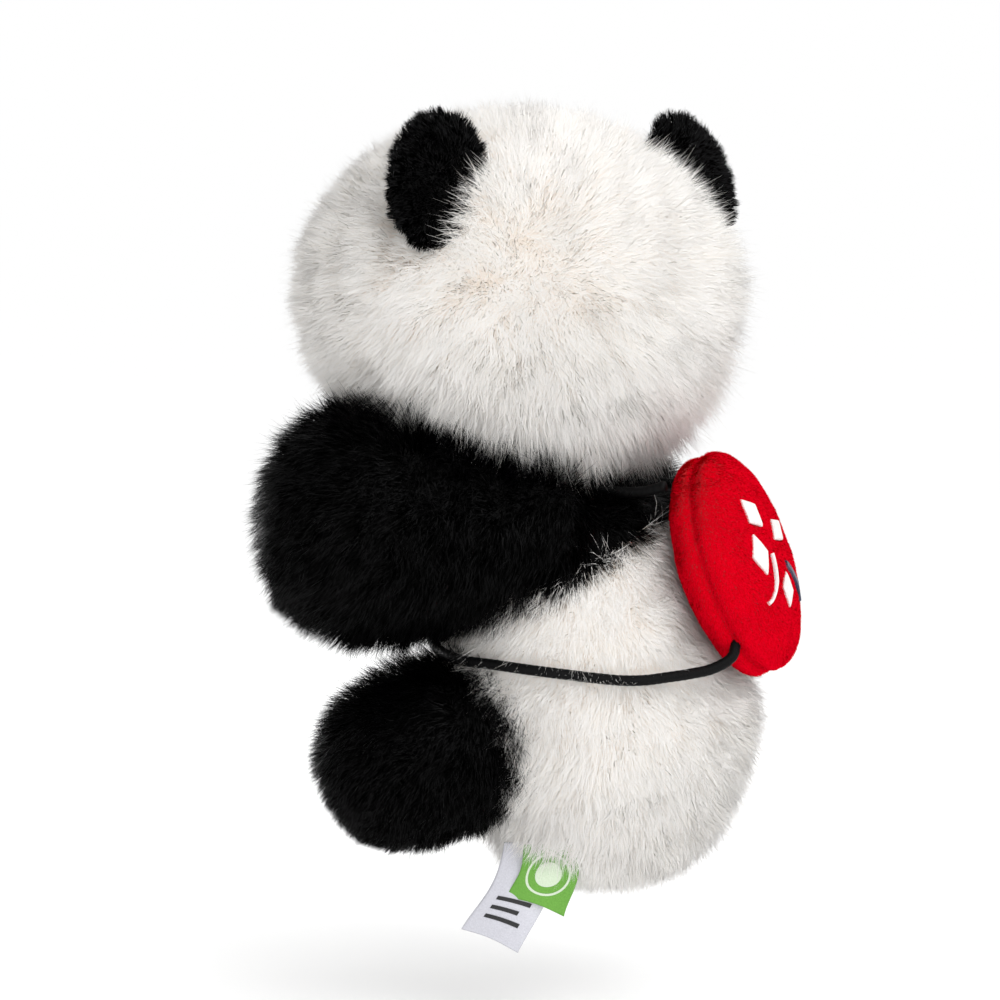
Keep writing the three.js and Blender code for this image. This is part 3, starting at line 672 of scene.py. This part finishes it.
def make_face():
    eye_plastic = glossy("eye_plastic", srgb(7, 5, 4), 0.09, 0.22)
    nose_plastic = glossy("nose_plastic", srgb(9, 8, 8), 0.34, 0.16)
    p, polys = ball_grid(HEAD_SEMI + PATCH_PROUD, 160, 260)
    inside = in_eye_patch(p, 0.0)
    for side, name in ((1, "left"), (-1, "right")):
        own = inside & (p[:, 0] * side > 0)
        faces = polys[own[polys].all(1)]
        used, at = np.unique(faces, return_inverse=True)
        skin(f"{name}_eye_patch_skin", "head", head_place(p[used]), at.reshape(faces.shape),
             BLACK_SKIN, (f"{name}_eye_patch",))
        coarse, coarse_polys = ball_grid(HEAD_SEMI + PATCH_PROUD)
        r, n = sample_surface(coarse, coarse_polys, PATCH_DENSITY, SEED + 10)
        seat, out = on_head(EYE_X, EYE_Z, 1.8)
        seat, out = seat * [side, 1, 1], out * [side, 1, 1]
        keep = in_eye_patch(r, -0.2) & (r[:, 0] * side > 0) & ~in_muzzle(r, 0.5)
        keep &= np.linalg.norm(r - seat, axis=1) > EYE_RADIUS
        r, n = r[keep], n[keep]
        flow = along(n, unit(r - seat))
        fibres(f"{name}_eye_patch_fur", "head", head_place(r), turned(n, HEAD_TURN),
               turned(flow, HEAD_TURN), np.full(len(r), PATCH_PILE), BLACK_FIBRES, SEED + 11,
               width=0.34, lift=0.35, droop=0.1, segments=2, keep_clear=False, steps=(1.0, 0.7))
        dome, dome_polys = lathe_grid(EYE_DOME, 40, 56)
        eye = new_mesh(f"{name}_eye_dome", row(head_place(aimed(dome, out, seat))), [dome_polys],
                       [eye_plastic])
        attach(eye, "head")
        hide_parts(f"{name}_eye")
    seat, out = on_muzzle(0, NOSE_Z, 0.3)
    dome, dome_polys = lathe_grid(NOSE_DOME, 40, 64)
    dome[:, 1] *= np.where(dome[:, 1] < 0, 1.0, 0.92)
    nose = new_mesh("nose_dome", row(head_place(aimed(dome, out, seat))), [dome_polys],
                    [nose_plastic])
    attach(nose, "head")
    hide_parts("nose")


def tube(line, radius, around, twist, depth, strands):
    """A round tube with closed ends and a plaited surface, cut to the given depth."""
    n = len(line)
    tangent = unit(np.gradient(line, axis=0))
    normal = unit(np.cross(tangent[0], [0.31, 0.17, 0.93]))
    points = []
    for i in range(n):
        normal = unit(normal - tangent[i] * np.dot(normal, tangent[i]))
        side = np.cross(tangent[i], normal)
        a = np.linspace(0, 2 * math.pi, around, endpoint=False)
        plait = np.cos(strands * a + twist * i) * np.cos(strands * a - twist * i)
        r = radius - depth * (0.5 + 0.5 * plait)
        points.append(line[i] + (np.cos(a) * r)[:, None] * normal + (np.sin(a) * r)[:, None] * side)
    p = np.vstack(points)
    polys = grid_polys(n, around)
    p = np.vstack([p, line[:1], line[-1:]])
    first, last = np.arange(around), np.arange(around) + (n - 1) * around
    caps = [np.stack([np.roll(first, -1), first, np.full(around, len(p) - 2)], 1),
            np.stack([last, np.roll(last, -1), np.full(around, len(p) - 1)], 1)]
    return p, polys, np.vstack(caps)


def make_mouth():
    points = []
    for x, z in ((-7.5, -19.6), (-4.5, -21.4), (0, -19), (4.5, -21.4), (7.5, -19.6)):
        at, out = on_muzzle(x, z, 0)
        points.append(at + out * 1.05)
    line = smooth_curve(np.array(points), 120)
    p, quads, tris = tube(line, 0.7, 12, 0.8, 0.16, 2)
    thread = woven("mouth_thread", srgb(12, 12, 12), srgb(34, 32, 32), 0.8, 1500, 0.5)
    ob = new_mesh("mouth_stitching", row(head_place(p)), [quads, tris], [thread])
    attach(ob, "head")
    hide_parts("mouth_stitch")


# Ears

def make_ears():
    for side, name in ((1, "left"), (-1, "right")):
        axes = np.stack(ear_frame(side))
        base = EAR_BASE * [side, 1, 1]

        def on_head_frame(q):
            return (q + [0, EAR_CENTRE_UP, 0]) @ axes + base

        p, polys = ball_grid(EAR_SEMI - 0.2, 60, 90)
        if side < 0:
            polys = polys[:, ::-1]
        skin(f"{name}_ear_skin", f"{name}_ear", head_place(on_head_frame(p)), polys, BLACK_SKIN,
             (f"{name}_ear_back", f"{name}_ear_front"))
        p, polys = ball_grid(EAR_SEMI, 60, 90)
        r, n = sample_surface(p, polys, EAR_DENSITY, SEED + 20)
        shown = ((on_head_frame(r) / (HEAD_SEMI - 2)) ** 2).sum(1) > 1
        r, n = r[shown], n[shown]
        rim = np.clip(np.hypot(r[:, 0] / EAR_SEMI[0], r[:, 1] / EAR_SEMI[1]), 0, 1)
        flow = along(n, unit(r + [0, 9, 0]))
        fibres(f"{name}_ear_fur", f"{name}_ear", head_place(on_head_frame(r)),
               turned(n @ axes, HEAD_TURN), turned(flow @ axes, HEAD_TURN),
               EAR_PILE + EAR_RIM_EXTRA * rim, BLACK_FIBRES, SEED + 21, width=0.3, lift=0.5,
               droop=0.05, clump=0.6, per_clump=22, segments=2, keep_clear=False, steps=(1.0, 0.8),
               strays=0.04, softness=0.5, fluff=0.7)


# Torso, neck and yoke

def yoke_edge(p):
    """Height above the yoke's lower seam."""
    return p[:, 2] - (YOKE_SPINE_Z - YOKE_DROP * (p[:, 0] / 30) ** 2)


def make_torso():
    p, polys = lathe_grid(TORSO_PROFILE - [SKIN_INSET, 0], 110, 140)
    p = lean(p)
    above = yoke_edge(p[polys].mean(1)) > 0
    skins = [WHITE_SKIN, BLACK_SKIN]
    ob = new_mesh("torso_skin", row(p), [polys], skins, True, above.astype(int))
    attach(ob, "torso")
    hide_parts("torso_back_cover", "belly_cover", "shoulder_yoke", "seat_panel")

    p, polys = lathe_grid(TORSO_PROFILE, 110, 140)
    r, n = sample_surface(lean(p), polys, TORSO_DENSITY, SEED + 30)
    keep = ~(on_neck(r, NECK, 14) & (r[:, 2] > 100))
    for side in (1, -1):
        q = r * [side, 1, 1]
        keep &= ~inside_limb(q, ARM_PROFILE, ARM_DIR, ARM_ROOT, -3) | (q[:, 0] < ARM_INNER_X)
        keep &= ~inside_limb(q, LEG_PROFILE, LEG_DIR, LEG_ROOT, -2) | (q[:, 0] < LEG_INNER_X)
    r, n = r[keep], n[keep]
    under_head = np.clip((r[:, 2] - 100) / 12, 0, 1)
    seat = np.clip((18 - r[:, 2]) / 10, 0, 1)
    length = TORSO_PILE - 4.5 * under_head - 3.0 * seat
    shoulder = STRAP_LINES[STRAP_LINES[:, 2] > STRAP_SHOWN_TO]
    length += 3.5 * np.clip(1.5 - nearest_lines(r, shoulder) / 6, 0, 1)
    length[inside_pack(r + n * 7, 2)] *= 0.55
    flow = along(n, unit(r - np.array([0, 0, 90])) * 0.5 - UP)
    black = yoke_edge(r) > 0
    for name, part, slots in (("torso_white_fur", ~black, WHITE_FIBRES),
                              ("yoke_black_fur", black, BLACK_FIBRES)):
        fibres(name, "torso", r[part], n[part], flow[part], length[part], slots, SEED + 31,
               width=0.21, lift=0.55, droop=0.3, clump=0.42, per_clump=44, scatter=0.28, strays=0.2,
               softness=0.93, fluff=0.6, two_sided=slots is WHITE_FIBRES)


def make_neck():
    p, polys = lathe_grid(NECK_PROFILE, 60, 72)
    ob = new_mesh("neck_sleeve", row(p + NECK), [polys], [BLACK_SKIN])
    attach(ob, "neck")
    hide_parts("neck_stuffing")


# Arms and legs

def make_limb(name, side, profile, direction, root, inner_x, covers, lengths, seed, underside):
    """underside is the share by which the pile is shorter where the limb faces down."""
    p, polys = lathe_grid(profile - [SKIN_INSET, 0], 90, 110)
    p = aimed(p, direction, root)
    p[:, 0] = np.maximum(p[:, 0], inner_x)
    if side < 0:
        p, polys = mirror(p), polys[:, ::-1]
    skin(f"{name}_skin", name, p, polys, BLACK_SKIN, covers)
    p, polys = lathe_grid(profile, 90, 110)
    p = aimed(p, direction, root)
    p[:, 0] = np.maximum(p[:, 0], inner_x)
    r, n = sample_surface(p, polys, LIMB_DENSITY, seed)
    keep = ~inside_torso(r, -2.5)
    r, n = r[keep], n[keep]
    reach = (r - root) @ unit(direction) / profile[-1, 1]
    flow = along(n, unit(direction) * 0.75 - UP * 0.65)
    length = np.interp(reach, [0, 0.75, 1], lengths) * (1 - underside * np.clip(-n[:, 2], 0, 1))
    length[r[:, 0] < inner_x + 0.2] = INNER_PILE
    if side < 0:
        r, n, flow = mirror(r), mirror(n), mirror(flow)
    fibres(f"{name}_fur", name, r, n, flow, length, BLACK_FIBRES, seed + 1, width=0.23, lift=0.52,
           droop=0.22, clump=0.42, per_clump=40, scatter=0.28, fluff=0.55)


def make_limbs():
    for side, name in ((1, "left"), (-1, "right")):
        make_limb(f"{name}_arm", side, ARM_PROFILE, ARM_DIR, ARM_ROOT, ARM_INNER_X,
                  (f"{name}_arm_cover",), ARM_PILE, SEED + 40, 0.0)
        make_limb(f"{name}_leg", side, LEG_PROFILE, LEG_DIR, LEG_ROOT, LEG_INNER_X,
                  (f"{name}_leg_cover", f"{name}_leg_sole"), LEG_PILE, SEED + 50, 0.5)


# Backpack

def lozenge(x, y, long, wide, degrees):
    c, s = math.cos(math.radians(degrees)), math.sin(math.radians(degrees))
    corners = [(long, 0), (0, wide), (-long, 0), (0, -wide)]
    return np.array([[x + u * c - v * s, y + u * s + v * c] for u, v in corners])


def arc_band(x, y, radius, width, start, end):
    a = np.radians(np.linspace(start, end, 25))
    outer = np.stack([x + (radius + width) * np.cos(a), y + (radius + width) * np.sin(a)], 1)
    inner = np.stack([x + radius * np.cos(a), y + radius * np.sin(a)], 1)
    return np.vstack([outer, inner[::-1]])


MOTIFS = (
    ("pack_lozenge_1", lozenge(-5.5, 11.5, 5.2, 4.2, 125), MOTIF_WHITE),
    ("pack_lozenge_2", lozenge(-9, 0, 5.8, 4.4, 95), MOTIF_WHITE),
    ("pack_lozenge_3", lozenge(2.5, -11, 5, 3.4, 75), MOTIF_WHITE),
    ("pack_lozenge_4", lozenge(7.5, 5.5, 5, 3.6, 30), MOTIF_WHITE),
    ("pack_stem", arc_band(-15.5, -0.5, 13, 1.1, -72, 0), MOTIF_WHITE),
    ("pack_crescent", arc_band(-1, -17, 13.5, 2.2, 8, 62), MOTIF_NAVY),
)


def in_outline(points, outline):
    """Even-odd test of plane points against a closed outline."""
    x, y = points[:, 0], points[:, 1]
    hit = np.zeros(len(points), bool)
    for (x0, y0), (x1, y1) in zip(outline, np.roll(outline, -1, axis=0)):
        crosses = (y0 > y) != (y1 > y)
        hit ^= crosses & (x < (x1 - x0) * (y - y0) / (y1 - y0 + 1e-12) + x0)
    return hit


def pack_height(xy, grow):
    """Height of the pack's face over its middle plane."""
    front = PACK_HALF_PROFILE[:6]
    radius = np.hypot(*(xy / PACK_STRETCH[:2]).T)
    return np.interp(radius, front[:, 0], front[:, 1]) + grow


def make_pack():
    p, polys = lathe_grid(PACK_PROFILE, 140, 160)
    p = (p + (waves(p, 22, SEED + 60)[:, None] * 0.5) * unit(p)) * PACK_STRETCH
    skin("pack_skin", "backpack", pack_place(p), polys, RED_SKIN,
         ("pack_front_panel", "pack_back_panel"))
    r, n = sample_surface(p, polys, PACK_DENSITY, SEED + 61)
    on_motif = np.zeros(len(r), bool)
    for _, outline, _ in MOTIFS:
        on_motif |= in_outline(r[:, :2], outline) & (r[:, 2] > 0.5)
    r, n = r[~on_motif], n[~on_motif]
    flow = along(n, np.array([0.2, -1, 0]))
    in_seam = np.abs(r[:, 2]) < 0.5
    length = np.where(in_seam, SEAM_PILE, PACK_PILE)
    fibres("pack_pile", "backpack", pack_place(r), n @ PACK_AXES, flow @ PACK_AXES, length,
           RED_FIBRES, SEED + 62, width=0.22, lift=0.4, droop=0.0, clump=0.15, per_clump=16,
           scatter=0.16, segments=2, keep_clear=False, steps=(1.0, 0.85), strays=0.02,
           softness=0.95, fluff=0.25)
    for name, outline, material in MOTIFS:
        make_motif(name, outline, material)


def make_motif(name, outline, material):
    """A thin felt shape with a sloping edge, laid on the pack's face."""
    dense = []
    for a, b in zip(outline, np.roll(outline, -1, axis=0)):
        t = np.linspace(0, 1, 8, endpoint=False)[:, None]
        dense.append(a + (b - a) * t)
    dense = np.vstack(dense)
    if len(outline) == 4:
        centre = outline.mean(0)
        inward = centre + (dense - centre) * 0.86
    else:
        half = len(outline) // 2
        middle = (outline[:half] + outline[half:][::-1]) / 2
        nearest = np.array([middle[np.argmin(((middle - q) ** 2).sum(1))] for q in dense])
        inward = dense + (nearest - dense) * 0.35
    heights = ((dense, 0.25), (dense, 0.85), (inward, 1.25))
    p = np.vstack([np.column_stack([xy, pack_height(xy, grow)]) for xy, grow in heights])
    n = len(dense)
    bottom, top = list(range(n))[::-1], list(range(2 * n, 3 * n))
    faces = [list(map(int, f)) for f in grid_polys(len(heights), n)] + [bottom, top]
    x, y = outline.T
    if (x * np.roll(y, -1) - np.roll(x, -1) * y).sum() < 0:
        faces = [f[::-1] for f in faces]
    me = bpy.data.meshes.new(name)
    me.from_pydata([tuple(v) for v in row(pack_place(p))], [], faces)
    me.materials.append(material)
    ob = bpy.data.objects.new(name + "_felt", me)
    bpy.context.scene.collection.objects.link(ob)
    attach(ob, "backpack")
    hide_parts(name)


# Straps

def make_straps():
    elastic = woven("black_elastic", srgb(1, 1, 1), srgb(5, 5, 6), 0.55, 1800, 0.5, 0.0, 0.12)
    for side, name in ((1, "left"), (-1, "right")):
        line = LEFT_STRAP_LINE if side > 0 else mirror(LEFT_STRAP_LINE)
        fine = smooth_curve(line[::4], 420)
        p, quads, tris = tube(fine, STRAP_RADIUS, 24, 0.9, 0.16, 6)
        ob = new_mesh(f"{name}_strap_cord", row(p), [quads, tris], [elastic])
        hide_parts(f"{name}_strap")
        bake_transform(ob)


# Labels

LABEL_ACROSS = np.array([-math.cos(math.radians(65)), math.sin(math.radians(65)), 0])
LABEL_OUT = np.array([LABEL_ACROSS[1], -LABEL_ACROSS[0], 0])


def label_surface(width, long, bend, sideways, at, skew):
    """A strip that hangs from its seam with a slight curl. The function it returns takes u across,
    v down, and the height over the strip."""
    def place(u, v, height=0.0):
        x = u * width + sideways * v**1.4 + 1.2 * np.sin(v * 5) * v + at[0]
        curl = bend * np.sin(v * math.pi * 0.9) * (0.6 + 0.4 * np.cos(u * 3))
        out = curl + 3.6 * u * v + at[1] + height
        z = -v * long - skew * u * width * v + 0.6 * np.cos(u * 4) * v
        x, out, z = x[..., None], out[..., None], z[..., None]
        return x * LABEL_ACROSS + out * LABEL_OUT + z * UP + LABEL_ANCHOR
    return place


def sheet_polys(rows, cols):
    i, j = np.meshgrid(np.arange(rows - 1), np.arange(cols - 1), indexing="ij")
    one = np.stack([i * cols + j, i * cols + j + 1, (i + 1) * cols + j + 1, (i + 1) * cols + j], -1)
    return one.reshape(-1, 4)[:, ::-1]


def make_label(name, body, node, place, material, thick, layers=1):
    rows, cols = 41, 25
    u = np.linspace(-0.5, 0.5, cols)[None] * np.ones((rows, 1))
    v = np.linspace(0, 1, rows)[:, None] * np.ones((1, cols))
    gap = 1.1 * (1 - (2 * v - 1) ** 6)
    p = np.vstack([place(u, v, -layer * gap).reshape(-1, 3) for layer in range(layers)])
    one = sheet_polys(rows, cols)
    quads = np.vstack([one + k * rows * cols for k in range(layers)])
    if layers == 2:
        front = (rows - 1) * cols + np.arange(cols - 1)
        back = front + rows * cols
        quads = np.vstack([quads, np.stack([front, front + 1, back + 1, back], 1)])
    ob = new_mesh(name, row(p), [quads], [material])
    thicken = ob.modifiers.new("Thickness", "SOLIDIFY")
    thicken.thickness = thick * MM
    thicken.offset = 0
    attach(ob, body)
    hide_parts(node)


def print_on(name, body, place, u, v, material):
    """A thin printed patch just over a label's face, from grids of u and v."""
    rows, cols = u.shape
    patch = row(place(u, v, PRINT_LIFT).reshape(-1, 3))
    ob = new_mesh(name, patch, [sheet_polys(rows, cols)], [material])
    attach(ob, body)


CARE_WIDTH, CARE_LONG, CARE_FLAT = 15.5, 27.0, (0.0155, 0.056)
BRAND_WIDTH, BRAND_LONG, BRAND_FLAT = 15.6, 17.0, (0.0156, 0.0174)
CARE_BARS = ((-0.3, 0.3, 0.6), (-0.3, 0.18, 0.7), (-0.3, 0.3, 0.8))
BAR_HALF_HEIGHT = 0.02
RING_RADII, DISC_RADII = (5.3, 5.9), (0.05, 3.5)
PRINT_LIFT = 0.24


def make_labels():
    # The care label is white satin. Its grey here is painted shade.
    satin = woven("care_label_satin", srgb(186, 186, 194), srgb(206, 206, 214), 0.4, 2600, 0.2, 0.0)
    green = woven("brand_label_satin", srgb(88, 146, 44), srgb(106, 166, 60), 0.6, 2600, 0.2, 0.0)
    pale_ink = woven("label_ink_pale", srgb(190, 206, 178), srgb(208, 222, 198), 0.6, 2600, 0.1, 0.0)
    dark_ink = woven("label_ink_dark", srgb(18, 18, 20), srgb(34, 34, 36), 0.6, 2600, 0.1, 0.0)
    care = label_surface(CARE_WIDTH, CARE_LONG, 2.2, -10.6, (0, -0.8), 0.38)
    make_label("care_label_loop", "care_label_body", "care_label", care, satin, 0.25, 2)
    for k, (left, right, down) in enumerate(CARE_BARS):
        u = np.linspace(left, right, 13)[None] * np.ones((4, 1))
        v = down + np.linspace(-BAR_HALF_HEIGHT, BAR_HALF_HEIGHT, 4)[:, None] * np.ones((1, 13))
        print_on(f"care_label_bar_{k + 1}", "care_label_body", care, u, v, dark_ink)
    brand = label_surface(BRAND_WIDTH, BRAND_LONG, 0.5, -3.4, (5.3, 2.4), 0.3)
    make_label("brand_label_flag", "brand_label_body", "brand_label", brand, green, 0.3)
    a = np.linspace(0, 2 * math.pi, 65)[None]
    for name, radii in (("brand_label_ring", RING_RADII), ("brand_label_disc", DISC_RADII)):
        r = np.linspace(*radii, 5)[:, None]
        print_on(name, "brand_label_body", brand, r * np.cos(a) / BRAND_WIDTH,
                 0.5 + r * np.sin(a) / BRAND_LONG, pale_ink)


# Hidden pieces keep their solids and get real materials

def finish_inner_pieces():
    washer = glossy("washer_plastic", srgb(226, 224, 218), 0.45)
    for name, ob in frame["nodes"].items():
        material = None
        if name.endswith("stuffing"):
            material = FILLING
        elif name == "pellet_bag":
            material = BAG_CLOTH
        elif name.endswith("washer"):
            material = washer
        if material:
            for slot in ob.material_slots:
                slot.material = material


# Studio

def from_centre(azimuth, elevation):
    """The direction away from the view's centre. Azimuth 0 is the toy's front."""
    return np.array([math.sin(azimuth) * math.cos(elevation),
                     -math.cos(azimuth) * math.cos(elevation), math.sin(elevation)])


def aim(ob, away, distance):
    ob.location = row(VIEW_CENTRE + away * distance)
    ob.rotation_euler = Vector(-away).to_track_quat("-Z", "Y").to_euler()


def make_camera():
    data = bpy.data.cameras.new("camera")
    data.lens, data.sensor_width = LENS, SENSOR
    data.clip_end = 20
    camera = bpy.data.objects.new("camera", data)
    bpy.context.scene.collection.objects.link(camera)
    aim(camera, from_centre(VIEW_AZIMUTH, VIEW_ELEVATION), FRAME_WIDTH * LENS / SENSOR)
    bpy.context.scene.camera = camera


def area_light(name, azimuth, elevation, distance, size, power):
    """Angles in degrees, distance in millimetres, size in metres and power in watts."""
    data = bpy.data.lights.new(name, "AREA")
    data.shape = "DISK"
    data.size, data.energy = size, power
    ob = bpy.data.objects.new(name, data)
    bpy.context.scene.collection.objects.link(ob)
    aim(ob, from_centre(math.radians(azimuth), math.radians(elevation)), distance)


def make_studio():
    world = bpy.data.worlds.new("studio")
    bpy.context.scene.world = world
    world.use_nodes = True
    background = world.node_tree.nodes["Background"]
    background.inputs["Color"].default_value = (1, 1, 1, 1)
    background.inputs["Strength"].default_value = 1.0
    area_light("key", 150, 40, 900, 0.8, 3.4)
    area_light("fill", 105, 5, 1300, 1.0, 2.55)
    area_light("rim", 250, 35, 900, 0.5, 0.8)
    area_light("front", 335, 2, 900, 0.22, 2.4)
    floor_mat = plain("floor_white", srgb(255, 255, 255), 0.9, 0.0, 0.0)
    middle = row([0, 0, FLOOR_Z])
    turns = ((-1, -1), (1, -1), (1, 1), (-1, 1))
    corners = [middle + FLOOR_HALF_SIZE_M * np.array([x, y, 0]) for x, y in turns]
    floor = new_mesh("floor", corners, [np.array([[0, 1, 2, 3]])], [floor_mat], False)
    bpy.context.scene.view_settings.view_transform = "Standard"


make_camera()
make_straps()
make_head()
make_face()
make_mouth()
make_ears()
make_torso()
make_neck()
make_limbs()
make_pack()
make_labels()
finish_inner_pieces()
make_studio()
